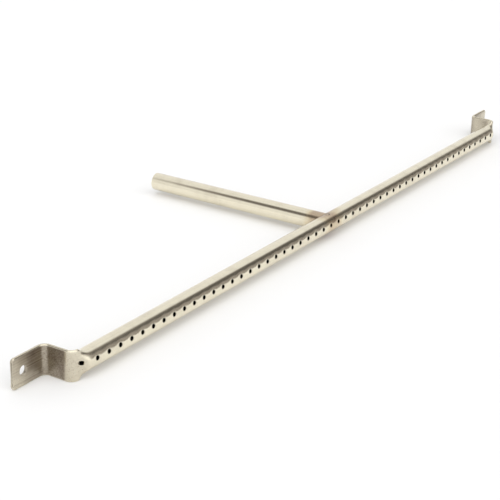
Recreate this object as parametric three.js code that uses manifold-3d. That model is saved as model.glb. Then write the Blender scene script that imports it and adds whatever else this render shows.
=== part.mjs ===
// Stainless steel gas burner: a ported burner tube whose two ends are pressed flat and bent into
// mounting tabs, and an inlet tube welded square to the middle of its back.
// Millimetres, +Z up, X along the burner, +Y from the burner towards the inlet's mouth.
import * as THREE from 'three';
import { mergeVertices } from 'three/addons/utils/BufferGeometryUtils.js';
import Module from 'manifold-3d';

const wasm = await Module();
wasm.setup();

// Burner tube
const TUBE_DIAMETER = 15.875;
const TUBE_WALL = 1.24;
const LEG_SPAN = 688.6;           // outside of one leg to the outside of the other
// Pressed and bent ends
const SHOULDER_LENGTH = 12.8;     // stretch over which the round tube turns flat
const SHOULDER_SHARPNESS = 3.5;   // 1 turns flat evenly, and more keeps it round for longer
const PRESS_OFFSET = 1.6;         // how far the flat lies in front of the burner's axis
const FLAT_LENGTH = 0.2;          // from the shoulder to the first bend
const BEND_INSIDE_RADIUS = 4;
const TAB_SETBACK = 22.3;         // from the burner's axis to the front face of the tabs
const TAB_REACH = 31.2;           // from the outside of the leg to the end of the tab
const TAB_CORNER_RADIUS = 2;
const BOLT_HOLE_DIAMETER = 7.14;
const BOLT_HOLE_TO_END = 10.1;
// Ports
const PORT_DIAMETER = 3.2;
const PORT_PITCH = 12.7;
const PORT_TO_LEG = 7.5;          // least distance from the outside of a leg to the first port
const PORT_TILT = THREE.MathUtils.degToRad(10);
// Inlet tube
const INLET_DIAMETER = 15.875;
const INLET_WALL = 1.24;
const INLET_LENGTH = 182;         // from the burner's axis to the mouth
const GAS_HOLE_TO_INLET_BORE = 1.2;   // ledge left round the gas hole inside the inlet
// Weld between the two tubes
const BEAD_RADIUS = 2.4;
const JOINT_GAP = 0.3;            // between each tube and what is welded to it

// Facets
const TUBE_SIDES = 24;
const PORT_SIDES = 8;
const HOLE_SIDES = 24;
const BEAD_SIDES = 8;
const BEAD_STEPS = 14;            // along each half of the saddle
const SHOULDER_STEPS = 8;
const BEND_STEPS = 4;
const CORNER_STEPS = 3;
const CUT_MARGIN = 2;             // how far a cutter runs past what it cuts

const tubeRadius = TUBE_DIAMETER / 2;
const inletRadius = INLET_DIAMETER / 2;
const stripThickness = 2 * TUBE_WALL;
const pressedWidth = Math.PI * tubeRadius - (Math.PI - 2) * TUBE_WALL;
const legCentre = LEG_SPAN / 2 - stripThickness / 2;
const tabCentre = TAB_SETBACK + stripThickness / 2;
const tabEnd = LEG_SPAN / 2 + TAB_REACH;
const bendRadius = BEND_INSIDE_RADIUS + stripThickness / 2;
const shoulderStart = legCentre - bendRadius - FLAT_LENGTH - SHOULDER_LENGTH;

const X = new THREE.Vector3(1, 0, 0);
const UP = new THREE.Vector3(0, 0, 1);

// ---- Solids ----

function solidFrom(geometry) {
  const bare = geometry.index ? geometry : geometry.clone();
  bare.deleteAttribute('normal');
  bare.deleteAttribute('uv');
  const merged = mergeVertices(bare, 1e-4);
  const mesh = new wasm.Mesh({
    numProp: 3,
    vertProperties: new Float32Array(merged.attributes.position.array),
    triVerts: new Uint32Array(merged.index.array),
  });
  return new wasm.Manifold(mesh);
}

function geometryFrom(solid) {
  const { vertProperties, triVerts } = solid.getMesh();
  const geometry = new THREE.BufferGeometry();
  geometry.setAttribute('position', new THREE.BufferAttribute(vertProperties, 3));
  geometry.setIndex(new THREE.BufferAttribute(triVerts, 1));
  return geometry;
}

// A closed skin over rings that all have the same number of points, with a flat cap at each end.
function loft(rings) {
  const count = rings[0].length;
  const points = rings.flat();
  const triangles = [];
  for (let ring = 0; ring < rings.length - 1; ring += 1) {
    for (let i = 0; i < count; i += 1) {
      const a = ring * count + i;
      const b = ring * count + (i + 1) % count;
      triangles.push(a, a + count, b, b, a + count, b + count);
    }
  }
  const last = (rings.length - 1) * count;
  for (let i = 1; i < count - 1; i += 1) {
    triangles.push(0, i, i + 1, last, last + i + 1, last + i);
  }
  const geometry = new THREE.BufferGeometry().setFromPoints(points);
  geometry.setIndex(triangles);
  return solidFrom(geometry);
}

function cylinder(radius, from, to, sides) {
  const axis = new THREE.Vector3().subVectors(to, from);
  const geometry = new THREE.CylinderGeometry(radius, radius, axis.length(), sides);
  const turn = new THREE.Quaternion().setFromUnitVectors(new THREE.Vector3(0, 1, 0), axis.normalize());
  const middle = new THREE.Vector3().addVectors(from, to).divideScalar(2);
  geometry.applyMatrix4(new THREE.Matrix4().compose(middle, turn, new THREE.Vector3(1, 1, 1)));
  return solidFrom(geometry);
}

// ---- Burner tube ----

// A point on the outline of a flat strip with round edges, a share of the way round a quarter of it:
// 0 is the middle of its face and 1 the middle of its edge.
function stripOutline(share, thickness, width) {
  const straight = (width - thickness) / 2;
  const along = share * (straight + Math.PI * thickness / 4);
  if (along <= straight) return [thickness / 2, along];
  const angle = (along - straight) / (thickness / 2);
  return [thickness / 2 * Math.cos(angle), straight + thickness / 2 * Math.sin(angle)];
}

// The tube's section, inset from its outer surface: round when flatness is 0, a strip when it is 1.
function sectionPoints(flatness, width, inset) {
  const round = tubeRadius - inset;
  const points = [];
  for (let i = 0; i < TUBE_SIDES; i += 1) {
    const angle = 2 * Math.PI * i / TUBE_SIDES;
    const depthSide = -Math.sign(Math.round(Math.cos(angle) * 1e6));
    const heightSide = Math.sign(Math.round(Math.sin(angle) * 1e6));
    const share = Math.atan2(Math.abs(Math.sin(angle)), Math.abs(Math.cos(angle))) / (Math.PI / 2);
    const [depth, height] = stripOutline(share, stripThickness - 2 * inset, width - 2 * inset);
    points.push([
      THREE.MathUtils.lerp(-round * Math.cos(angle), depthSide * depth, flatness),
      THREE.MathUtils.lerp(round * Math.sin(angle), heightSide * height, flatness),
    ]);
  }
  return points;
}

// The sections of the right half, from the middle of the burner to the end of its tab.
// Each has its place on the tube's centre line, the line's heading, its flatness and its width.
function halfStations() {
  const stations = [{ x: 0, y: 0, heading: 0, flatness: 0, width: pressedWidth }];
  for (let step = 0; step <= SHOULDER_STEPS; step += 1) {
    const share = Math.sqrt(step / SHOULDER_STEPS);
    const flatness = share ** SHOULDER_SHARPNESS;
    stations.push({
      x: shoulderStart + SHOULDER_LENGTH * share, y: -PRESS_OFFSET * flatness, heading: 0,
      flatness, width: pressedWidth,
    });
  }
  const bends = [
    { x: legCentre - bendRadius, y: bendRadius - PRESS_OFFSET, turn: 1 },
    { x: legCentre + bendRadius, y: tabCentre - bendRadius, turn: -1 },
  ];
  for (const bend of bends) {
    for (let step = 0; step <= BEND_STEPS; step += 1) {
      const quarter = Math.PI / 2 * step / BEND_STEPS;
      const heading = bend.turn > 0 ? quarter : Math.PI / 2 - quarter;
      const x = bend.x + bend.turn * bendRadius * Math.sin(heading);
      const y = bend.y - bend.turn * bendRadius * Math.cos(heading);
      stations.push({ x, y, heading, flatness: 1, width: pressedWidth });
    }
  }
  for (let step = 0; step <= CORNER_STEPS; step += 1) {
    const rounding = Math.PI / 2 * step / CORNER_STEPS;
    const x = tabEnd - TAB_CORNER_RADIUS * (1 - Math.sin(rounding));
    const narrowing = 2 * TAB_CORNER_RADIUS * (1 - Math.cos(rounding));
    stations.push({ x, y: tabCentre, heading: 0, flatness: 1, width: pressedWidth - narrowing });
  }
  return stations;
}

function stationRing(station, inset, side) {
  return sectionPoints(station.flatness, station.width, inset).map(([depth, height]) => new THREE.Vector3(
    side * (station.x - depth * Math.sin(station.heading)),
    station.y + depth * Math.cos(station.heading),
    height,
  ));
}

function mirroredLoft(stations, inset) {
  const left = stations.slice(1).reverse().map((station) => stationRing(station, inset, -1));
  const right = stations.map((station) => stationRing(station, inset, 1));
  return loft([...left, ...right]);
}

function portPlaces() {
  const count = Math.floor((LEG_SPAN - 2 * PORT_TO_LEG) / PORT_PITCH) + 1;
  return Array.from({ length: count }, (_, i) => (i - (count - 1) / 2) * PORT_PITCH);
}

function burnerTube() {
  const stations = halfStations();
  const openStations = stations.filter((station) => station.flatness < 1);
  const cutters = [mirroredLoft(openStations, TUBE_WALL)];
  const portDirection = new THREE.Vector3(0, -Math.cos(PORT_TILT), Math.sin(PORT_TILT));
  for (const place of portPlaces()) {
    const from = X.clone().multiplyScalar(place);
    const to = from.clone().addScaledVector(portDirection, tubeRadius + CUT_MARGIN);
    cutters.push(cylinder(PORT_DIAMETER / 2, from, to, PORT_SIDES));
  }
  for (const side of [-1, 1]) {
    const hole = new THREE.Vector3(side * (tabEnd - BOLT_HOLE_TO_END), tabCentre, 0);
    const reach = new THREE.Vector3(0, stripThickness / 2 + CUT_MARGIN, 0);
    cutters.push(cylinder(BOLT_HOLE_DIAMETER / 2, hole.clone().sub(reach), hole.add(reach), HOLE_SIDES));
  }
  const gasHoleRadius = Math.min(inletRadius - INLET_WALL, tubeRadius - TUBE_WALL) - GAS_HOLE_TO_INLET_BORE;
  const behind = new THREE.Vector3(0, tubeRadius + CUT_MARGIN, 0);
  cutters.push(cylinder(gasHoleRadius, new THREE.Vector3(), behind, HOLE_SIDES));
  return cutters.reduce((body, cutter) => body.subtract(cutter), mirroredLoft(stations, 0));
}

// ---- Inlet tube and weld ----

function burnerEnvelope() {
  const halfLength = inletRadius + 2 * BEAD_RADIUS + CUT_MARGIN;
  const end = X.clone().multiplyScalar(halfLength);
  return cylinder(tubeRadius + JOINT_GAP, end.clone().negate(), end, TUBE_SIDES);
}

function inletTube() {
  const bore = inletRadius - INLET_WALL;
  const profile = [
    [bore, 0], [inletRadius, 0], [inletRadius, INLET_LENGTH], [bore, INLET_LENGTH], [bore, 0],
  ].map(([radius, y]) => new THREE.Vector2(radius, y));
  return solidFrom(new THREE.LatheGeometry(profile, TUBE_SIDES)).subtract(burnerEnvelope());
}

// The line on which the outsides of the two tubes meet, at an angle round the inlet.
function saddlePoint(angle) {
  const z = inletRadius * Math.sin(angle);
  const y = Math.sqrt(Math.max(0, tubeRadius ** 2 - z ** 2));
  return new THREE.Vector3(inletRadius * Math.cos(angle), y, z);
}

function halfBead(side) {
  const rings = [];
  for (let step = 0; step <= BEAD_STEPS; step += 1) {
    const angle = Math.PI * (step / BEAD_STEPS - 0.5);
    const centre = saddlePoint(angle);
    const nudge = Math.PI / BEAD_STEPS / 2;
    const ahead = saddlePoint(Math.min(Math.PI / 2, angle + nudge));
    const heading = ahead.sub(saddlePoint(Math.max(-Math.PI / 2, angle - nudge))).normalize();
    const across = new THREE.Vector3(Math.cos(angle), 0, Math.sin(angle));
    across.addScaledVector(heading, -across.dot(heading)).normalize();
    const third = new THREE.Vector3().crossVectors(heading, across);
    const ring = [];
    for (let i = 0; i < BEAD_SIDES; i += 1) {
      const turn = -2 * Math.PI * i / BEAD_SIDES;
      const point = centre.clone()
        .addScaledVector(across, BEAD_RADIUS * Math.cos(turn))
        .addScaledVector(third, BEAD_RADIUS * Math.sin(turn));
      point.x *= side;
      ring.push(point);
    }
    rings.push(side > 0 ? ring : ring.reverse());
  }
  return loft(rings);
}

function saddleWeld() {
  const inletEnvelope = cylinder(
    inletRadius + JOINT_GAP,
    new THREE.Vector3(0, -CUT_MARGIN, 0),
    new THREE.Vector3(0, 3 * tubeRadius, 0),
    TUBE_SIDES,
  );
  const ends = [UP, UP.clone().negate()].map((direction) => {
    const ball = new THREE.SphereGeometry(BEAD_RADIUS, 2 * BEAD_SIDES, BEAD_SIDES);
    const seat = saddlePoint(Math.sign(direction.z) * Math.PI / 2);
    return solidFrom(ball.translate(seat.x, seat.y, seat.z));
  });
  const bead = [halfBead(-1), ...ends].reduce((body, piece) => body.add(piece), halfBead(1));
  return bead.subtract(burnerEnvelope()).subtract(inletEnvelope);
}

// ---- Assembly ----

function piece(name, solid, color, roughness) {
  const material = new THREE.MeshStandardMaterial({ color, roughness, metalness: 1 });
  const mesh = new THREE.Mesh(geometryFrom(solid), material);
  mesh.name = name;
  return mesh;
}

// The pieces are made round the point where the two tubes' axes cross. The burner's origin is under
// the middle of its outline, level with its lowest edges.
const burner = new THREE.Group();
burner.add(
  piece('burner_tube', burnerTube(), '#b9b1a3', 0.35),
  piece('inlet_tube', inletTube(), '#beb7a9', 0.35),
  piece('saddle_weld', saddleWeld(), '#8c6f52', 0.5),
);
burner.position.set(0, -(INLET_LENGTH - tubeRadius) / 2, pressedWidth / 2);

const assembly = new THREE.Group();
assembly.add(burner);

export default assembly;
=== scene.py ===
"""A stainless steel tube burner: a ported tube with pressed and bent ends, a mixing tube and the weld."""
import math

import bmesh
import bpy
import numpy as np
from bpy.props import FloatProperty, FloatVectorProperty, IntProperty, PointerProperty
from bpy.types import Operator, Panel, PropertyGroup
from mathutils import Matrix, Vector


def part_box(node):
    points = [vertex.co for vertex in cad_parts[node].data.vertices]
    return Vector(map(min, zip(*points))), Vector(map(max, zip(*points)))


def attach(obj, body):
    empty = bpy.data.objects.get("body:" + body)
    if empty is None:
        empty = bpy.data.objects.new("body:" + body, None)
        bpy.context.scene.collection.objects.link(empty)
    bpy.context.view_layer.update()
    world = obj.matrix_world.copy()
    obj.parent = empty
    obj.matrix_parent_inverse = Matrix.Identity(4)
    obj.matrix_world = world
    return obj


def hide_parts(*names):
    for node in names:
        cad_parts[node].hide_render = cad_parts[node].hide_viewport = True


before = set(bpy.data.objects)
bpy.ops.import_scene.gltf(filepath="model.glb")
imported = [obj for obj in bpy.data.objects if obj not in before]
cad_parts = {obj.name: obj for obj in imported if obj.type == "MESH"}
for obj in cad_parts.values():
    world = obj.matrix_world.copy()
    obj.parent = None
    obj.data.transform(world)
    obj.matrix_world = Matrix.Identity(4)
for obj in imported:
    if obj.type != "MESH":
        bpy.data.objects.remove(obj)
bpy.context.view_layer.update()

bl_info = {
    "name": "Tube Burner",
    "version": (1, 0, 0),
    "blender": (4, 5, 0),
    "location": "View3D > Sidebar > Tube Burner",
    "description": "Builds a stainless steel tube burner, its finishes and its stage",
    "category": "Object",
}

MM = 0.001
QUARTER = math.pi / 2
X_AXIS = Vector((1, 0, 0))
Y_AXIS = Vector((0, 1, 0))
WHITE = (1, 1, 1)

# Facets
TUBE_SIDES = 72
PORT_SIDES = 20
BOLT_HOLE_SIDES = 48
MIXING_TUBE_SIDES = 120
CELL_STEPS = 10             # rings along one port's length of tube
END_STEPS = 58              # rings from the last port to the tab's rounded corners
CORNER_STEPS = 6
PINCH_START = 0.94          # where the bore ends, as a share of the shoulder's length
BORE_CROWDING = 10          # how much closer the bore's rings lie past the pinch
BORE_FLATNESS = 0.93        # how flat the bore is pressed at the pinch
SWELL_REACH = 1.5 * MM      # how far the swell of the strip's edges reaches
WELD_STEPS = 300
WELD_SECTION_STEPS = 24
SHARP_ANGLE = math.radians(38)
WELD_TOLERANCE = 0.01 * MM  # points closer than this become one
FACING = 0.99               # cosine above which a face counts as facing along an axis

# Waves that the press leaves in flat faces: their height, their lengths along and across, and their phase
PRESS_WAVES = (
    (1, 2.1 * MM, 5.2 * MM, 1),
    (1, 3.3 * MM, -3.1 * MM, 2),
    (0.7, 6.4 * MM, 1.7 * MM, 0),
)

# Unevenness of the weld round the joint, in waves: their height, how many go round, and their phase
LEG_WAVES = ((0.07, 3, 1), (0.05, 8, 0))
CROWN_WAVES = ((0.1, 2, 0.6),)

# How strongly each colour covers the steel
HANDLED_FILM = 0.28
# The pressed film is partly painted shade, darkening the legs and tabs
PRESSED_FILM_AND_SHADE = 0.57
FILM_AND_SHADE_GONE_AT_END = 0.43           # how much of the pressed film and painted shade is gone at the tab's end
BARE_EDGE = 0.75            # how much of the film and painted shade is gone at the strip's edges
CLOUDY_STAIN = 0.22
DRAWN_STAIN = 0.25
# Painted shade: how strongly the dark port colour covers the ports' walls, the bore and the dimples
PORT_SHADE_COVER = 0.9
STRAW_COVER = 0.55
BROWN_COVER = 0.6
SCALE_COVER = 0.6
TINT_CENTRE = 0.9           # distance of the heat tint's middle from the ported tube's axis, in radii
TINT_RAGGEDNESS = 18 * MM   # how far the edge of the heat tint wanders
STEEL_RELIEF = 0.02 * MM
WELD_RELIEF = 0.03 * MM

# Open side and front of the light tent: between which two values of Y, then of X, a direction comes into it
TENT_OPEN = ((-0.04, -0.26), (0.3, 0.6))
TENT_FRONT = ((0.3, 0.0), (0.5, 0.2))
TENT_SHADED = (0.8, 0.3)    # brightness at which the gaps' colour starts to show, and at which it is whole

# Darker gaps in the light tent: where they are, how bright, and their outer and inner radius in degrees
TENT_GAPS = (
    ((0.786, -0.605, 0.12), 0.34, 20, 11),
    ((0.786, -0.386, 0.484), 0.1, 18, 6),
    ((-0.485, 0.497, 0.72), 0.13, 22, 8),
)

burner_low, burner_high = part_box("burner_tube")
inlet_low, inlet_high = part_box("inlet_tube")


def length(name, default, description):
    """A size in metres that shows in the sidebar in scene units."""
    return FloatProperty(name=name, default=default, description=description, unit="LENGTH", precision=5)


def colour(name, default, description):
    """A colour that shows in the sidebar as a swatch."""
    return FloatVectorProperty(
        name=name, default=default, description=description, subtype="COLOR", size=3, min=0, max=1)


class BurnerSizes(PropertyGroup):
    """The sizes of the burner's pieces."""
    tube_radius: length("Tube radius", 7.9375 * MM, "Outside radius of the ported tube")
    tube_wall: length("Tube wall", 1.24 * MM, "Wall of the ported tube")
    leg_span: length("Leg span", 688.6 * MM, "From the outside of one leg to the outside of the other")
    shoulder_length: length("Shoulder length", 12.8 * MM, "Stretch over which the tube turns flat")
    shoulder_sharpness: FloatProperty(
        name="Shoulder sharpness", default=3.5, min=1,
        description="Higher keeps the shoulder round for longer")
    press_offset: length("Press offset", 1.6 * MM, "How far the flat lies in front of the tube's axis")
    flat_length: length("Flat length", 0.2 * MM, "From the shoulder to the first bend")
    bend_inside_radius: length("Bend radius", 4 * MM, "Inside radius of the bends")
    strip_width: length("Strip width", burner_high.z - burner_low.z, "Width of the pressed strip")
    tab_corner_radius: length("Tab corner radius", 2 * MM, "Radius of the tab's corners")
    tab_edge_swell: length("Tab edge swell", 0.1 * MM, "How much thicker the folded edges of the strip are")
    press_marks: length("Press marks", 0.05 * MM, "Height of the waves that the press leaves in flat faces")
    cut_rounding: length("Cut rounding", 0.2 * MM, "Rounding of the edges of cut ends")
    pinch_gap: length("Pinch gap", 0.3 * MM, "Height of the slit between the walls at the tab's cut end")
    pinch_depth: length("Pinch depth", 1.2 * MM, "Depth of the slit between the walls at the tab's cut end")
    bolt_hole_radius: length("Bolt hole radius", 3.57 * MM, "Radius of the hole in each tab")
    bolt_hole_to_end: length("Bolt hole to end", 10.1 * MM, "From the bolt hole to the tab's end")
    hole_chamfer: length("Hole chamfer", 0.2 * MM, "Chamfer round each bolt hole")
    port_radius: length("Port radius", 1.75 * MM, "Radius of each port")
    port_chamfer: length("Port chamfer", 0.12 * MM, "Chamfer round each port")
    port_pitch: length("Port pitch", 12.7 * MM, "From one port to the next")
    port_count: IntProperty(name="Ports", default=54, min=2, description="How many ports are in the row")
    port_tilt: FloatProperty(
        name="Port tilt", default=math.radians(10), subtype="ANGLE",
        description="How far above level the ports point")
    dimple_depth: length("Dimple depth", 0.42 * MM, "How far punching presses in the wall round a port")
    dimple_reach: length("Dimple reach", 3.0 * MM, "How far from the port's middle the dimple fades")
    gas_hole_radius: length("Gas hole radius", 5.5 * MM, "Radius of the hole between the two tubes")
    inlet_radius: length(
        "Inlet radius", (inlet_high.x - inlet_low.x) / 2, "Outside radius of the mixing tube")
    inlet_wall: length("Inlet wall", 1.24 * MM, "Wall of the mixing tube")
    fit_gap: length("Fit gap", 0.05 * MM, "Gap between the tubes where they meet")
    weld_leg: length("Weld leg", 2.5 * MM, "How far the weld reaches along each tube")
    weld_crown: length("Weld crown", 1.5 * MM, "Height of the weld where the tubes lie level with each other")
    weld_bulge: length("Weld bulge", 0.5 * MM, "Height of the weld's curve in the corners between the tubes")
    ripple_pitch: length("Ripple pitch", 1.3 * MM, "From one ripple of the weld to the next")


class BurnerFinishes(PropertyGroup):
    """The colours of the burner's metal, with the painted shade for the ports and the pressed ends."""
    steel: colour("Steel", (0.85, 0.79, 0.63), "Drawn stainless steel tube")
    stain: colour("Stain", (0.50, 0.43, 0.33), "Handling and oil marks on the steel")
    # Partly a real brown film from pressing, partly painted shade that darkens the legs and tabs
    film_and_shade: colour("Film and shade", (0.17, 0.13, 0.105), "Brown film on the pressed ends")
    # Painted shade for the ports' walls, the bore and the dimples round the ports, where shade falls
    port_shade: colour("Port shade", (0.045, 0.04, 0.035), "Walls of the ports")
    straw: colour("Straw tint", (0.66, 0.52, 0.30), "Outer band of the heat tint beside the weld")
    brown: colour("Brown tint", (0.38, 0.27, 0.21), "Inner band of the heat tint beside the weld")
    ported_tint: length("Ported tube's tint", 12 * MM, "How far the heat tint reaches on the ported tube")
    mixing_tint: length("Mixing tube's tint", 8.5 * MM, "How far the heat tint reaches on the mixing tube")
    weld: colour("Weld", (0.44, 0.36, 0.28), "Weld metal")
    scale: colour("Weld scale", (0.20, 0.17, 0.16), "Oxide in the weld's ripples")


class BurnerStage(PropertyGroup):
    """The floor, the light and the camera."""
    floor_colour: colour("Floor", (0.85, 0.85, 0.85), "Colour of the floor")
    floor_width: length("Floor width", 60, "Width of the floor")
    light_strength: FloatProperty(
        name="Overhead light", default=1.0, description="Strength of the overhead light")
    light_from: FloatVectorProperty(
        name="Light from", default=(-0.75, -0.1, 0.65), subtype="DIRECTION", size=3,
        description="Where the overhead light comes from")
    light_spread: FloatProperty(
        name="Light spread", default=math.radians(60), subtype="ANGLE",
        description="Width of the overhead light as the burner sees it")
    tent_bright: FloatProperty(name="Tent", default=0.92, description="Light from the tent's walls")
    tent_front: FloatProperty(
        name="Tent, front", default=1.36, description="Light from the tent's front left")
    tent_dim: FloatProperty(
        name="Tent, open side", default=0.4, description="Light from where the tent is open, at the right")
    gap_colour: colour("Gap colour", (1.0, 0.93, 0.90), "Colour of the light from the tent's gaps")
    aim: FloatVectorProperty(
        name="Aim", default=(-0.092787, -0.067941, (inlet_low.z + inlet_high.z) / 2),
        subtype="TRANSLATION", size=3, unit="LENGTH",
        description="Point that the camera looks at")
    distance: length("Camera distance", 1.162342, "From the camera to the point it looks at")
    azimuth: FloatProperty(
        name="Azimuth", default=math.radians(-57.6957), subtype="ANGLE",
        description="Where the camera stands")
    elevation: FloatProperty(
        name="Elevation", default=math.radians(21.6373), subtype="ANGLE", description="Height of the camera")
    roll: FloatProperty(
        name="Roll", default=math.radians(1.6587), subtype="ANGLE", description="Tilt of the camera")
    lens: FloatProperty(name="Lens", default=102.762, description="Focal length in millimetres")


def crossing(sizes):
    """The point where the axes of the two tubes cross."""
    return Vector((0, burner_low.y + sizes.tube_radius, (inlet_low.z + inlet_high.z) / 2))


# ---- Modelling ----

def select_only(piece):
    """Make the piece the only one selected, in object mode."""
    if bpy.context.object and bpy.context.object.mode != "OBJECT":
        bpy.ops.object.mode_set(mode="OBJECT")
    bpy.ops.object.select_all(action="DESELECT")
    piece.select_set(True)
    bpy.context.view_layer.objects.active = piece


def select_parts(piece, kind, wanted):
    """Go into edit mode with only the wanted vertices, edges or faces of the piece selected."""
    select_only(piece)
    bpy.ops.object.mode_set(mode="EDIT")
    bpy.ops.mesh.select_mode(type=kind)
    bpy.ops.mesh.select_all(action="DESELECT")
    shape = bmesh.from_edit_mesh(piece.data)
    parts = {"VERT": shape.verts, "EDGE": shape.edges, "FACE": shape.faces}[kind]
    chosen = [part for part in parts if wanted(part)]
    if not chosen:
        raise RuntimeError(f"Nothing to select on {piece.name}")
    for part in chosen:
        part.select_set(True)
    shape.select_flush_mode()
    bmesh.update_edit_mesh(piece.data)


def extrude(offset):
    """Extrude what is selected by an offset."""
    bpy.ops.mesh.extrude_region_move(TRANSFORM_OT_translate={"value": tuple(offset)})


def add_cylinder(name, radius, start, end, sides):
    """Add a closed cylinder between two points."""
    bpy.ops.object.select_all(action="DESELECT")
    axis = end - start
    bpy.ops.mesh.primitive_cylinder_add(
        vertices=sides, radius=radius, depth=axis.length, location=(start + end) / 2,
        rotation=axis.to_track_quat("Z", "Y").to_euler())
    cylinder = bpy.context.active_object
    cylinder.name = cylinder.data.name = name
    bpy.ops.object.transform_apply(location=True, rotation=True, scale=True)
    return cylinder


def hollow_out(tube, axis, wall):
    """Open a closed cylinder's ends and give it a wall."""
    select_parts(tube, "FACE", lambda face: abs(face.normal.dot(axis)) > FACING)
    bpy.ops.mesh.delete(type="ONLY_FACE")
    select_only(tube)
    modifier = tube.modifiers.new("Wall", "SOLIDIFY")
    modifier.thickness = wall
    modifier.offset = -1
    bpy.ops.object.modifier_apply(modifier=modifier.name)


def flare_end(cutter, end, direction, radius, chamfer, margin):
    """Widen a cutter's end at 45 degrees and carry it on past the surface."""
    select_parts(cutter, "FACE", lambda face: (face.calc_center_median() - end).length < radius / 10)
    extrude(direction * chamfer)
    widening = 1 + chamfer / radius
    bpy.ops.transform.resize(value=(widening, widening, widening), center_override=end + direction * chamfer)
    extrude(direction * margin)
    bpy.ops.object.mode_set(mode="OBJECT")


def cut(piece, cutter):
    """Take the cutter's solid away from the piece."""
    select_only(piece)
    modifier = piece.modifiers.new("Cut", "BOOLEAN")
    modifier.operation = "DIFFERENCE"
    modifier.solver = "MANIFOLD"
    modifier.object = cutter
    bpy.ops.object.modifier_apply(modifier=modifier.name)
    bpy.data.meshes.remove(cutter.data)


def read_points(piece):
    """The piece's points as rows of an array."""
    points = np.empty(len(piece.data.vertices) * 3)
    piece.data.vertices.foreach_get("co", points)
    return points.reshape(-1, 3)


def write_points(piece, points):
    """Put the rows of an array back as the piece's points."""
    piece.data.vertices.foreach_set("co", points.ravel())
    piece.data.update()


def finish_piece(piece, material, node):
    """Shade the piece, give it its material and tie it to the frame."""
    select_only(piece)
    bpy.ops.object.shade_smooth_by_angle(angle=SHARP_ANGLE)
    piece.data.materials.clear()
    piece.data.materials.append(material)
    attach(piece, "root")
    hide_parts(node)


def port_cell(sizes):
    """One port's length of round tube, open at both ends, with its port punched."""
    middle = crossing(sizes)
    radius = sizes.tube_radius
    half = X_AXIS * sizes.port_pitch / 2
    cell = add_cylinder("ported_tube", radius, middle - half, middle + half, TUBE_SIDES)
    hollow_out(cell, X_AXIS, sizes.tube_wall)

    def on_outside(vert):
        return math.hypot(vert.co.y - middle.y, vert.co.z - middle.z) > radius - WELD_TOLERANCE

    select_parts(cell, "EDGE", lambda edge: edge_run(edge) > half.x
                 and all(on_outside(vert) for vert in edge.verts))
    bpy.ops.mesh.subdivide(number_cuts=CELL_STEPS - 1)
    bpy.ops.object.mode_set(mode="OBJECT")

    # The punch starts to widen one chamfer below the surface, and stops as far above it.
    out = Vector((0, -math.cos(sizes.port_tilt), math.sin(sizes.port_tilt)))
    outer_end = middle + out * (radius - sizes.port_chamfer)
    punch = add_cylinder("punch", sizes.port_radius, middle + out * radius / 2, outer_end, PORT_SIDES)
    flare_end(punch, outer_end, out, sizes.port_radius, 2 * sizes.port_chamfer, radius / 4)
    cut(cell, punch)
    select_parts(cell, "FACE", lambda face: abs(face.calc_center_median().x) > half.x - WELD_TOLERANCE)
    bpy.ops.mesh.delete(type="FACE")
    bpy.ops.object.mode_set(mode="OBJECT")

    points = read_points(cell) - middle
    from_axis = np.hypot(points[:, 1], points[:, 2])
    turn = np.arctan2(points[:, 2], -points[:, 1]) - sizes.port_tilt
    from_port = np.hypot(points[:, 0], turn * radius)
    dimple = sizes.dimple_depth * np.exp(-(from_port / sizes.dimple_reach) ** 2)
    dimple[from_axis < radius - sizes.tube_wall / 2] = 0
    points[:, 1:] *= (1 - dimple / from_axis)[:, None]
    write_points(cell, points + middle)
    return cell


def straight_tube(sizes):
    """The tube before its ends are pressed: the row of ports, and plain tube out to each cut end."""
    middle = crossing(sizes)
    tube = port_cell(sizes)
    select_only(tube)
    row = tube.modifiers.new("Row of ports", "ARRAY")
    row.count = sizes.port_count
    row.use_relative_offset = False
    row.use_constant_offset = True
    row.constant_offset_displace = (sizes.port_pitch, 0, 0)
    row.use_merge_vertices = True
    row.merge_threshold = WELD_TOLERANCE
    bpy.ops.object.modifier_apply(modifier=row.name)
    tube.data.transform(Matrix.Translation(X_AXIS * (1 - sizes.port_count) * sizes.port_pitch / 2))

    row_end = sizes.port_count * sizes.port_pitch / 2
    skins_part = sizes.tube_radius - sizes.tube_wall / 2
    plain = developed_length(sizes) - sizes.tab_corner_radius - row_end

    def at_row_end(vert, side):
        return abs(vert.co.x - side * row_end) < WELD_TOLERANCE

    def on_outside(vert):
        return math.hypot(vert.co.y - middle.y, vert.co.z - middle.z) > skins_part

    for side in (-1, 1):
        select_parts(tube, "VERT", lambda vert: at_row_end(vert, side) and on_outside(vert))
        extrude(X_AXIS * side * plain)
        extrude(X_AXIS * side * sizes.tab_corner_radius)
        bpy.ops.mesh.edge_face_add()
        select_parts(tube, "VERT", lambda vert: at_row_end(vert, side) and not on_outside(vert))
        bpy.ops.mesh.edge_face_add()
    select_parts(tube, "EDGE", lambda edge: edge_run(edge) > plain / 2)
    bpy.ops.mesh.subdivide(number_cuts=END_STEPS - 1)
    select_parts(tube, "EDGE", lambda edge: abs(edge_run(edge) - sizes.tab_corner_radius) < WELD_TOLERANCE
                 and abs(edge.verts[0].co.x) > row_end + plain / 2)
    bpy.ops.mesh.subdivide(number_cuts=CORNER_STEPS - 1)
    bpy.ops.mesh.select_all(action="SELECT")
    bpy.ops.mesh.normals_make_consistent(inside=False)
    bpy.ops.object.mode_set(mode="OBJECT")
    return tube


def edge_run(edge):
    """How far an edge runs along the burner."""
    return abs(edge.verts[0].co.x - edge.verts[1].co.x)


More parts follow.
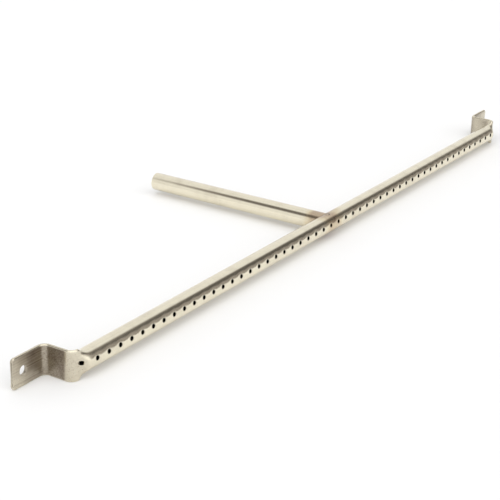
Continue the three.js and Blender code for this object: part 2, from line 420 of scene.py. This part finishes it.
def path_lengths(sizes):
    """Distances along the half tube's centre line at which its shoulder, bends and tab start."""
    bend_radius = sizes.bend_inside_radius + sizes.tube_wall
    arc = bend_radius * QUARTER
    tab_centre = burner_high.y - sizes.tube_wall - crossing(sizes).y
    leg = tab_centre + sizes.press_offset - 2 * bend_radius
    first_bend = sizes.leg_span / 2 - sizes.tube_wall - bend_radius
    shoulder = first_bend - sizes.flat_length - sizes.shoulder_length
    leg_start = first_bend + arc
    second_bend = leg_start + leg
    return shoulder, first_bend, leg_start, second_bend, second_bend + arc


def developed_length(sizes):
    """Length of half the tube along its centre line."""
    first_bend, tab_start = path_lengths(sizes)[1], path_lengths(sizes)[4]
    bend_radius = sizes.bend_inside_radius + sizes.tube_wall
    return tab_start + burner_high.x - first_bend - 2 * bend_radius


def centre_line(along, sizes):
    """Places and headings on the half tube's centre line, at distances along it."""
    _, first_bend, leg_start, second_bend, tab_start = path_lengths(sizes)
    bend_radius = sizes.bend_inside_radius + sizes.tube_wall
    leg = second_bend - leg_start
    first_turn = np.clip((along - first_bend) / bend_radius, 0, QUARTER)
    second_turn = np.clip((along - second_bend) / bend_radius, 0, QUARTER)
    x = (np.minimum(along, first_bend) + bend_radius * np.sin(first_turn)
         + bend_radius * (1 - np.cos(second_turn)) + np.maximum(along - tab_start, 0))
    y = (bend_radius * (1 - np.cos(first_turn)) + np.clip(along - leg_start, 0, leg)
         + bend_radius * np.sin(second_turn))
    return x, y, first_turn - second_turn


def press_and_bend(tube, sizes):
    """Press the tube's ends flat and bend them into legs and tabs."""
    middle = crossing(sizes)
    points = read_points(tube) - middle
    wall = sizes.tube_wall
    side = np.sign(points[:, 0])
    along = np.abs(points[:, 0])
    depth, height = points[:, 1], points[:, 2]
    inset = np.clip(sizes.tube_radius - np.hypot(depth, height), 0, wall)
    shoulder = path_lengths(sizes)[0]
    whole = developed_length(sizes)

    # The bore stops at the pinch, just short of the flat, and its last rings crowd together there.
    pinch = shoulder + PINCH_START * sizes.shoulder_length
    inside = inset > wall / 2
    along = np.where(inside & (along > pinch), pinch + (along - pinch) / BORE_CROWDING, along)
    flatness = np.clip((along - shoulder) / sizes.shoulder_length, 0, 1) ** sizes.shoulder_sharpness
    flatness = np.where(inside, np.minimum(flatness, BORE_FLATNESS), flatness)

    # The last rings bunch up towards the cut end, to round the tab's corners.
    corner_start = whole - sizes.tab_corner_radius
    corner = np.clip((along - corner_start) / sizes.tab_corner_radius, 0, 1) * QUARTER
    along = np.minimum(along, corner_start) + sizes.tab_corner_radius * np.sin(corner)
    x, y, heading = centre_line(along, sizes)

    y -= sizes.press_offset * flatness
    width = sizes.strip_width - 2 * sizes.tab_corner_radius * (1 - np.cos(corner))

    half_thickness = wall - inset
    straight = width / 2 - wall
    share = np.arctan2(np.abs(height), np.abs(depth)) / QUARTER
    run = share * (straight + half_thickness * QUARTER)
    edge_turn = np.clip((run - straight) / np.maximum(half_thickness, WELD_TOLERANCE), 0, QUARTER)
    swell = sizes.tab_edge_swell * np.exp(-((run - straight) / SWELL_REACH) ** 2)
    strip_depth = half_thickness * np.cos(edge_turn) + swell * np.cos(edge_turn)
    strip_height = np.minimum(run, straight) + half_thickness * np.sin(edge_turn)
    waves = sum(crest * np.sin(along / length_along + height / length_across + phase * side)
                for crest, length_along, length_across, phase in PRESS_WAVES)
    strip_depth = strip_depth * np.sign(depth) + sizes.press_marks * waves * (inset < wall / 2)
    depth = depth + (strip_depth - depth) * flatness
    height = height + (strip_height * np.sign(height) - height) * flatness

    points[:, 0] = side * (x - depth * np.sin(heading))
    points[:, 1] = y + depth * np.cos(heading)
    points[:, 2] = height
    write_points(tube, points + middle)


def finish_cut_ends(tube, sizes):
    """Round the edges of the tabs' cut ends and open the slit between the pressed walls."""
    tab_end = burner_high.x

    def is_end(face):
        return abs(face.normal.x) > FACING and abs(face.calc_center_median().x) > tab_end - WELD_TOLERANCE

    select_parts(tube, "EDGE", lambda edge: any(is_end(face) for face in edge.link_faces))
    bpy.ops.mesh.bevel(offset=sizes.cut_rounding, segments=2)
    for side in (-1, 1):
        select_parts(tube, "FACE", lambda face: is_end(face) and face.normal.x * side > 0)
        bpy.ops.mesh.inset(thickness=sizes.tube_wall - sizes.cut_rounding - sizes.pinch_gap / 2)
        extrude(X_AXIS * -side * sizes.pinch_depth)
    bpy.ops.object.mode_set(mode="OBJECT")
    points = read_points(tube)
    points[:, 0] = np.clip(points[:, 0], burner_low.x, burner_high.x)
    write_points(tube, points)


def drill_tube(tube, sizes):
    """Cut the bolt holes in the tabs and the gas hole in the tube's back."""
    middle = crossing(sizes)
    thickness = 2 * sizes.tube_wall
    tab_centre = burner_high.y - thickness / 2
    reach = Y_AXIS * (thickness / 2 - sizes.hole_chamfer)
    for side in (-1, 1):
        hole = Vector((side * (burner_high.x - sizes.bolt_hole_to_end), tab_centre, middle.z))
        drill = add_cylinder("drill", sizes.bolt_hole_radius, hole - reach, hole + reach, BOLT_HOLE_SIDES)
        for direction in (-1, 1):
            flare_end(drill, hole + reach * direction, Y_AXIS * direction, sizes.bolt_hole_radius,
                      2 * sizes.hole_chamfer, thickness)
        cut(tube, drill)
    drill = add_cylinder("drill", sizes.gas_hole_radius, middle, middle + Y_AXIS * 2 * sizes.tube_radius,
                         BOLT_HOLE_SIDES)
    cut(tube, drill)


def make_mixing_tube(sizes):
    """The mixing tube, hollow, with its mouth rounded and its other end shaped to the ported tube."""
    middle = crossing(sizes)
    mouth = Vector((0, inlet_high.y, middle.z))
    tube = add_cylinder("mixing_tube", sizes.inlet_radius, middle, mouth, MIXING_TUBE_SIDES)
    hollow_out(tube, Y_AXIS, sizes.inlet_wall)
    select_parts(tube, "EDGE", lambda edge: edge.is_manifold and edge.calc_face_angle() > 1
                 and all(vert.co.y > mouth.y - WELD_TOLERANCE for vert in edge.verts))
    bpy.ops.mesh.bevel(offset=1.5 * sizes.cut_rounding, segments=3)
    bpy.ops.object.mode_set(mode="OBJECT")
    half = X_AXIS * 2 * sizes.inlet_radius
    saddle = add_cylinder("saddle", sizes.tube_radius + sizes.fit_gap, middle - half, middle + half,
                          MIXING_TUBE_SIDES)
    cut(tube, saddle)
    return tube


def rows(*columns):
    """Columns of numbers as rows of points."""
    return np.stack(np.broadcast_arrays(*columns), axis=-1).astype(float)


def unit(vectors):
    """The vectors at length one."""
    return vectors / np.linalg.norm(vectors, axis=1)[:, None]


def onto_cylinder(points, axes, radius):
    """Points moved straight to or from a cylinder's axis until they lie on it."""
    moved = points.copy()
    scale = radius / np.linalg.norm(points[:, axes], axis=1)
    moved[:, axes] *= scale[:, None]
    return moved


def uneven(turn, waves):
    """A share near one that goes up and down round the joint."""
    return sum((crest * np.sin(count * turn + phase) for crest, count, phase in waves), 1)


def make_weld_seam(sizes):
    """The weld round the joint: a ring laid along the line where the tubes meet, with its ripples."""
    middle = crossing(sizes)
    bpy.ops.object.select_all(action="DESELECT")
    bpy.ops.mesh.primitive_torus_add(
        major_segments=WELD_STEPS, minor_segments=WELD_SECTION_STEPS,
        major_radius=sizes.inlet_radius, minor_radius=sizes.weld_leg)
    seam = bpy.context.active_object
    seam.name = seam.data.name = "weld_seam"
    ring = read_points(seam)
    round_inlet = np.arctan2(ring[:, 1], ring[:, 0])
    section = np.arctan2(ring[:, 2], np.hypot(ring[:, 0], ring[:, 1]) - sizes.inlet_radius)

    corner = 0.16           # rounding of the joint line's top and bottom
    sunk = 0.12 * MM        # how far the weld's edges lie in the steel
    ripple_depth = 0.16 * MM
    ripple_bow = 1.4        # how far each ripple bows forward in its middle, in radians
    saddle_stretch = 1.2    # length of the joint line over the inlet's circumference
    step = 0.01             # turn between the two points that give the joint line's heading

    def joint_line(turn):
        """Points on the line where the tubes meet, rounded at its top and bottom."""
        y = sizes.inlet_radius * (np.sqrt(np.cos(turn) ** 2 + corner ** 2) - corner / 2)
        return onto_cylinder(rows(sizes.inlet_radius * np.cos(turn), y, sizes.inlet_radius * np.sin(turn)),
                             [1, 2], sizes.tube_radius)

    seat = joint_line(round_inlet)
    heading = unit(joint_line(round_inlet + step) - joint_line(round_inlet - step))
    off_inlet = rows(np.cos(round_inlet), 0, np.sin(round_inlet))
    off_burner = unit(seat * np.array([0, 1, 1]))
    out = unit(off_inlet + off_burner)
    along_inlet = unit(np.cross(off_inlet, heading))
    along_burner = unit(np.cross(heading, off_burner))
    leg = sizes.weld_leg * uneven(round_inlet, LEG_WAVES)[:, None]
    on_inlet = onto_cylinder(seat + leg * along_inlet, [0, 2], sizes.inlet_radius - sunk)
    on_burner = onto_cylinder(seat + leg * along_burner, [1, 2], sizes.tube_radius - sunk)
    root = seat - out * sizes.tube_wall / 2

    cornering = np.abs(np.cos(round_inlet))
    height = sizes.weld_crown + (sizes.weld_bulge - sizes.weld_crown) * cornering
    across = np.clip(section / math.pi + 0.5, 0, 1)
    dome = np.sqrt(np.clip(1 - (2 * across - 1) ** 2, 0, 1))
    run = np.unwrap(round_inlet) * sizes.inlet_radius * saddle_stretch
    ripple = np.abs(np.sin(math.pi * run / sizes.ripple_pitch + ripple_bow * dome))
    height = height * uneven(round_inlet, CROWN_WAVES) - ripple_depth * (1 - ripple) ** 2
    face = on_inlet + (on_burner - on_inlet) * across[:, None] + out * (height * dome)[:, None]

    back = np.mod(section - QUARTER, 2 * math.pi) / math.pi
    half_way = np.clip(2 * back, 0, 1)[:, None]
    to_inlet = np.clip(2 * back - 1, 0, 1)[:, None]
    hidden = on_burner + (root - on_burner) * half_way + (on_inlet - root) * to_inlet
    is_face = (np.abs(section) <= QUARTER + 1e-6)[:, None]
    write_points(seam, np.where(is_face, face, hidden) + middle)

    select_parts(seam, "FACE", lambda part: True)
    bpy.ops.mesh.normals_make_consistent(inside=False)
    bpy.ops.object.mode_set(mode="OBJECT")
    return seam


# ---- Finishes ----

class Wire:
    """A socket of a material. Sums on it add Math nodes."""

    def __init__(self, finish, socket):
        self.finish = finish
        self.socket = socket

    def __add__(self, other):
        return self.finish.math("ADD", self, other)

    __radd__ = __add__

    def __mul__(self, other):
        return self.finish.math("MULTIPLY", self, other)

    __rmul__ = __mul__

    def __sub__(self, other):
        return self.finish.math("SUBTRACT", self, other)

    def __rsub__(self, other):
        return self.finish.math("SUBTRACT", other, self)

    def __abs__(self):
        return self.finish.math("ABSOLUTE", self)


class Finish:
    """The nodes of one material, or of the world."""

    def __init__(self, owner):
        owner.use_nodes = True
        self.owner = owner
        self.tree = owner.node_tree
        self.tree.nodes.clear()

    def add(self, kind, settings=None, sockets=None, output=0):
        """Add a node with its settings, then the values or links of its sockets."""
        node = self.tree.nodes.new(kind)
        for name, value in (settings or {}).items():
            setattr(node, name, value)
        for name, value in (sockets or {}).items():
            if isinstance(value, Wire):
                self.tree.links.new(value.socket, node.inputs[name])
            else:
                node.inputs[name].default_value = value
        return Wire(self, node.outputs[output]) if node.outputs else node

    def math(self, operation, *terms):
        """A Math node."""
        return self.add("ShaderNodeMath", {"operation": operation}, dict(enumerate(terms)))

    def place(self, stretch=(1, 1, 1), shift=(0, 0, 0)):
        """The point on the piece, stretched and moved."""
        point = self.add("ShaderNodeTexCoord", output="Object")
        return self.add("ShaderNodeMapping", {}, {"Vector": point, "Location": shift, "Scale": stretch})

    def axis(self, name, shift=(0, 0, 0)):
        """How far along an axis the point is."""
        return self.add("ShaderNodeSeparateXYZ", {}, {0: self.place(shift=shift)}, name)

    def distance(self, centre, counted=(1, 1, 1)):
        """Distance of the point from a centre, over the axes that are counted."""
        shift = [-part * share for part, share in zip(centre, counted)]
        return self.add("ShaderNodeVectorMath", {"operation": "LENGTH"}, {
            0: self.place(counted, shift)}, "Value")

    def noise(self, place, scale, detail, roughness):
        """Cloudy noise from 0 to 1."""
        return self.add("ShaderNodeTexNoise", {}, {
            "Vector": place, "Scale": scale, "Detail": detail, "Roughness": roughness}, "Fac")

    def fade(self, value, low, high):
        """0 below low, 1 above high, and smooth between."""
        return self.add("ShaderNodeMapRange", {"interpolation_type": "SMOOTHSTEP"}, {
            "Value": value, "From Min": low, "From Max": high}, "Result")

    def blend(self, share, first, second):
        """The first colour turning into the second."""
        return self.add("ShaderNodeMix", {"data_type": "RGBA"}, {
            "Factor": share, 6: first, 7: second}, 2)

    def metal(self, colour_wire, roughness, bump_height, bump_distance):
        """Bare metal with a varying colour, roughness and height."""
        normal = self.add("ShaderNodeBump", {}, {
            "Strength": 1.0, "Distance": bump_distance, "Height": bump_height})
        surface = self.add("ShaderNodeBsdfPrincipled", {}, {
            "Base Color": colour_wire, "Metallic": 1.0, "Roughness": roughness, "Normal": normal})
        self.add("ShaderNodeOutputMaterial", {}, {"Surface": surface})
        return self.owner


def opaque(shade):
    """A colour with its alpha."""
    return (*shade, 1)


def tube_steel(name, is_ported, tint_reach, sizes, shades):
    """Drawn stainless tube: fine lines along it, stains, heat tint that fades away from the weld, and painted
    shade on the pressed ends and in the ports.
    """
    finish = Finish(bpy.data.materials.new(name))
    middle = crossing(sizes)
    lines_place = finish.place(stretch=(6, 900, 900) if is_ported else (900, 6, 900))
    lines = finish.noise(lines_place, 1.0, 3.0, 0.6)
    clouds = finish.noise(finish.place(), 55.0, 3.0, 0.55)
    specks = finish.noise(finish.place(), 420.0, 2.0, 0.6)

    # Heat tint, by the distance from the joint
    from_joint = finish.distance(middle + Y_AXIS * sizes.tube_radius * TINT_CENTRE)
    ragged = from_joint + (clouds - 0.5) * TINT_RAGGEDNESS
    brown_share = 1 - finish.fade(ragged, tint_reach, 1.5 * tint_reach)
    straw_share = 1 - finish.fade(ragged, 1.2 * tint_reach, 2 * tint_reach)

    # Brown film on the legs and tabs, partly left by pressing and partly painted shade that darkens them,
    # thinner towards the tabs' ends and off their edges
    sideways = abs(finish.axis("X"))
    backwards = finish.axis("Y")
    upwards = abs(finish.axis("Z", (0, 0, -middle.z)))
    leg = sizes.leg_span / 2
    strip_edge = sizes.strip_width / 2
    pressed = (finish.fade(sideways, leg - 4 * MM, leg - 1 * MM)
               * finish.fade(backwards, burner_low.y + 11 * MM, burner_low.y + 14 * MM))
    handled = finish.fade(sideways, leg - 14 * MM, leg - 8 * MM)
    near_tab_end = finish.fade(sideways, leg + 8 * MM, burner_high.x)
    edge = finish.fade(upwards, strip_edge - 1.2 * MM, strip_edge - 0.5 * MM)
    film_and_shade_share = ((HANDLED_FILM * handled + pressed * (PRESSED_FILM_AND_SHADE - FILM_AND_SHADE_GONE_AT_END * near_tab_end))
                  * (1 - BARE_EDGE * edge))
    film_and_shade_share = film_and_shade_share * (0.9 + 0.9 * (clouds - 0.5) + 1.1 * (lines - 0.5))
    stain_share = (finish.fade(clouds, 0.42, 0.72) * CLOUDY_STAIN
                   + finish.fade(lines, 0.5, 0.8) * DRAWN_STAIN)

    steel = finish.blend(stain_share, opaque(shades.steel), opaque(shades.stain))
    steel = finish.blend(film_and_shade_share, steel, opaque(shades.film_and_shade))
    if is_ported:
        # Painted shade on the walls of the ports and the bore, and a little way out of each port where the
        # dimples sink in
        from_axis = finish.distance(middle, (0, 1, 1))
        shoulder = path_lengths(sizes)[0]
        inside = ((1 - finish.fade(from_axis, sizes.tube_radius - 0.4 * MM, sizes.tube_radius - 0.17 * MM))
                  * (1 - finish.fade(sideways, shoulder, shoulder + 3 * MM)))
        steel = finish.blend(inside * PORT_SHADE_COVER, steel, opaque(shades.port_shade))
    steel = finish.blend(straw_share * STRAW_COVER, steel, opaque(shades.straw))
    steel = finish.blend(brown_share * BROWN_COVER, steel, opaque(shades.brown))
    roughness = 0.15 + 0.07 * lines + 0.12 * stain_share + 0.22 * film_and_shade_share + 0.05 * straw_share
    height = 0.35 * lines + 0.2 * specks + pressed * clouds
    return finish.metal(steel, roughness, height, STEEL_RELIEF)


def weld_metal(shades):
    """Weld metal with dark oxide in its ripples."""
    finish = Finish(bpy.data.materials.new("weld_metal"))
    clouds = finish.noise(finish.place(), 260.0, 3.0, 0.6)
    grains = finish.noise(finish.place(), 1800.0, 2.0, 0.6)
    scale_share = finish.fade(clouds, 0.38, 0.66)
    metal = finish.blend(scale_share * SCALE_COVER, opaque(shades.weld), opaque(shades.scale))
    return finish.metal(metal, 0.3 + 0.2 * scale_share, grains + clouds, WELD_RELIEF)


# ---- Operators ----

class BURNER_OT_stage(Operator):
    """Lay the floor, set the light and place the camera"""
    bl_idname = "burner.stage"
    bl_label = "Stage"

    def execute(self, context):
        stage = context.scene.burner_stage
        self.lay_floor(stage)
        self.hang_light(stage)
        self.pitch_tent(context.scene, stage)
        self.place_camera(context.scene, stage)
        context.scene.view_settings.view_transform = "Standard"
        return {"FINISHED"}

    def lay_floor(self, stage):
        """A wide white floor."""
        bpy.ops.object.select_all(action="DESELECT")
        bpy.ops.mesh.primitive_plane_add(size=stage.floor_width)
        floor = bpy.context.active_object
        floor.name = floor.data.name = "floor"
        finish = Finish(bpy.data.materials.new("floor_paint"))
        surface = finish.add("ShaderNodeBsdfPrincipled", {}, {
            "Base Color": opaque(stage.floor_colour), "Roughness": 0.75, "Specular IOR Level": 0.2})
        finish.add("ShaderNodeOutputMaterial", {}, {"Surface": surface})
        floor.data.materials.append(finish.owner)

    def hang_light(self, stage):
        """A soft light from overhead, which the metal doesn't reflect."""
        bpy.ops.object.light_add(type="SUN", location=(0, 0, 2))
        light = bpy.context.active_object
        light.name = light.data.name = "overhead_light"
        light.rotation_euler = Vector(stage.light_from).to_track_quat("Z", "Y").to_euler()
        light.data.energy = stage.light_strength
        light.data.angle = stage.light_spread
        light.visible_glossy = False

    def pitch_tent(self, scene, stage):
        """Soft light all round, stronger at the front left, but for the open side and the darker gaps."""
        scene.world = bpy.data.worlds.new("light_tent")
        tent = Finish(scene.world)
        direction = tent.add("ShaderNodeTexCoord", output="Generated")
        backwards, rightwards = (
            tent.add("ShaderNodeSeparateXYZ", {}, {0: direction}, axis) for axis in ("Y", "X"))
        is_open, is_front = (
            tent.fade(backwards, *along_y) * tent.fade(rightwards, *along_x)
            for along_y, along_x in (TENT_OPEN, TENT_FRONT))
        strength = (stage.tent_bright + (stage.tent_dim - stage.tent_bright) * is_open
                    + (stage.tent_front - stage.tent_bright) * is_front)
        for gap, dimmed, outer, inner in TENT_GAPS:
            facing = tent.add("ShaderNodeVectorMath", {"operation": "DOT_PRODUCT"}, {
                0: direction, 1: gap}, "Value")
            share = tent.fade(facing, math.cos(math.radians(outer)), math.cos(math.radians(inner)))
            strength = strength + share * (dimmed - strength)
        shade = tent.blend(tent.fade(strength, *TENT_SHADED), opaque(WHITE), opaque(stage.gap_colour))
        light = tent.add("ShaderNodeBackground", {}, {"Color": shade, "Strength": strength})
        tent.add("ShaderNodeOutputWorld", {}, {"Surface": light})

    def place_camera(self, scene, stage):
        """The camera, turned to the point it looks at."""
        out = Vector((math.sin(stage.azimuth) * math.cos(stage.elevation),
                      -math.cos(stage.azimuth) * math.cos(stage.elevation), math.sin(stage.elevation)))
        right = Vector((0, 0, 1)).cross(out).normalized()
        turn = Matrix((right, out.cross(right), out)).transposed().to_4x4()
        bpy.ops.object.camera_add()
        camera = bpy.context.active_object
        camera.name = camera.data.name = "camera"
        camera.matrix_world = (Matrix.Translation(Vector(stage.aim) + out * stage.distance)
                               @ turn @ Matrix.Rotation(stage.roll, 4, "Z"))
        camera.data.lens = stage.lens
        camera.data.sensor_width = 36
        camera.data.clip_end = 4 * stage.floor_width
        scene.camera = camera


class BURNER_OT_ported_tube(Operator):
    """Build the ported tube with its pressed and bent ends"""
    bl_idname = "burner.ported_tube"
    bl_label = "Ported Tube"

    def execute(self, context):
        sizes, shades = context.scene.burner_sizes, context.scene.burner_finishes
        tube = straight_tube(sizes)
        press_and_bend(tube, sizes)
        finish_cut_ends(tube, sizes)
        drill_tube(tube, sizes)
        finish_piece(tube, tube_steel("ported_tube_steel", True, shades.ported_tint, sizes, shades),
                     "burner_tube")
        return {"FINISHED"}


class BURNER_OT_mixing_tube(Operator):
    """Build the mixing tube"""
    bl_idname = "burner.mixing_tube"
    bl_label = "Mixing Tube"

    def execute(self, context):
        sizes, shades = context.scene.burner_sizes, context.scene.burner_finishes
        tube = make_mixing_tube(sizes)
        finish_piece(tube, tube_steel("mixing_tube_steel", False, shades.mixing_tint, sizes, shades),
                     "inlet_tube")
        return {"FINISHED"}


class BURNER_OT_weld_seam(Operator):
    """Lay the weld between the two tubes"""
    bl_idname = "burner.weld_seam"
    bl_label = "Weld Seam"

    def execute(self, context):
        seam = make_weld_seam(context.scene.burner_sizes)
        finish_piece(seam, weld_metal(context.scene.burner_finishes), "saddle_weld")
        return {"FINISHED"}


STEPS = (BURNER_OT_stage, BURNER_OT_ported_tube, BURNER_OT_mixing_tube, BURNER_OT_weld_seam)


class BURNER_PT_panel(Panel):
    """The burner's build steps, sizes and colours"""
    bl_idname = "BURNER_PT_panel"
    bl_label = "Tube Burner"
    bl_space_type = "VIEW_3D"
    bl_region_type = "UI"
    bl_category = "Tube Burner"

    def draw(self, context):
        for step in STEPS:
            self.layout.operator(step.bl_idname)
        for group in (context.scene.burner_sizes, context.scene.burner_finishes, context.scene.burner_stage):
            column = self.layout.column()
            for name in group.__annotations__:
                column.prop(group, name)


CLASSES = (BurnerSizes, BurnerFinishes, BurnerStage, *STEPS, BURNER_PT_panel)


def register():
    """Register the classes and hang the settings on the scene."""
    for part in CLASSES:
        bpy.utils.register_class(part)
    bpy.types.Scene.burner_sizes = PointerProperty(type=BurnerSizes)
    bpy.types.Scene.burner_finishes = PointerProperty(type=BurnerFinishes)
    bpy.types.Scene.burner_stage = PointerProperty(type=BurnerStage)


def unregister():
    """Take the settings off the scene and unregister the classes."""
    del bpy.types.Scene.burner_stage
    del bpy.types.Scene.burner_finishes
    del bpy.types.Scene.burner_sizes
    for part in reversed(CLASSES):
        bpy.utils.unregister_class(part)


def main():
    """Build the burner and its stage."""
    register()
    bpy.ops.burner.stage()
    bpy.ops.burner.ported_tube()
    bpy.ops.burner.mixing_tube()
    bpy.ops.burner.weld_seam()


if __name__ == "__main__":
    main()
